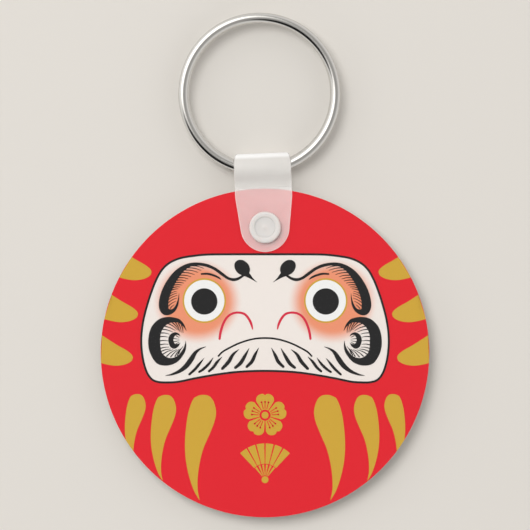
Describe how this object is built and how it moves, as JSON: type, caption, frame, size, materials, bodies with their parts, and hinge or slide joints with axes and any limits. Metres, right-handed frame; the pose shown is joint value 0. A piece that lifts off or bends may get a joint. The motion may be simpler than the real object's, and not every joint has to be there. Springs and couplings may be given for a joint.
{
  "type": "printed disc key ring",
  "caption": "Key ring with a flat printed disc on a folded plastic strap, held by a snap rivet, and a steel split ring for keys.",
  "frame": {"origin": "on the table under the middle of the whole object, which lies on its back", "axes": "+Z out of the printed face, +Y from the disc towards the split ring, +X to the right of the upright face"},
  "size_m": [0.0572, 0.0878, 0.0055],
  "materials": {
    "white_board": "satin",
    "print": "printed",
    "gloss_film": "clear gloss",
    "back_card": "satin",
    "milky_strap": "translucent satin",
    "rivet_plastic": "semi-gloss",
    "plated_steel": "polished"
  },
  "bodies": {
    "disc": {"core_disc": "white_board", "printed_sheet": "print", "front_film": "gloss_film", "back_sheet": "back_card"},
    "strap_and_rivet": {"strap": "milky_strap", "rivet_stud": "rivet_plastic", "rivet_cap": "rivet_plastic"},
    "ring": {"split_ring": "plated_steel"}
  },
  "joints": [
    {"name": "strap_swivel", "type": "hinge", "parent": "disc", "child": "strap_and_rivet", "pos_m": [0, 0.00651, 0.00275], "axis": [0, 0, 1], "range_deg": [-20, 15]},
    {"name": "ring_swing", "type": "hinge", "parent": "strap_and_rivet", "child": "ring", "pos_m": [-0.00043, 0.0167, 0.00275], "axis": [0.9991, 0.0419, 0], "range_deg": [-120, 120]}
  ]
}
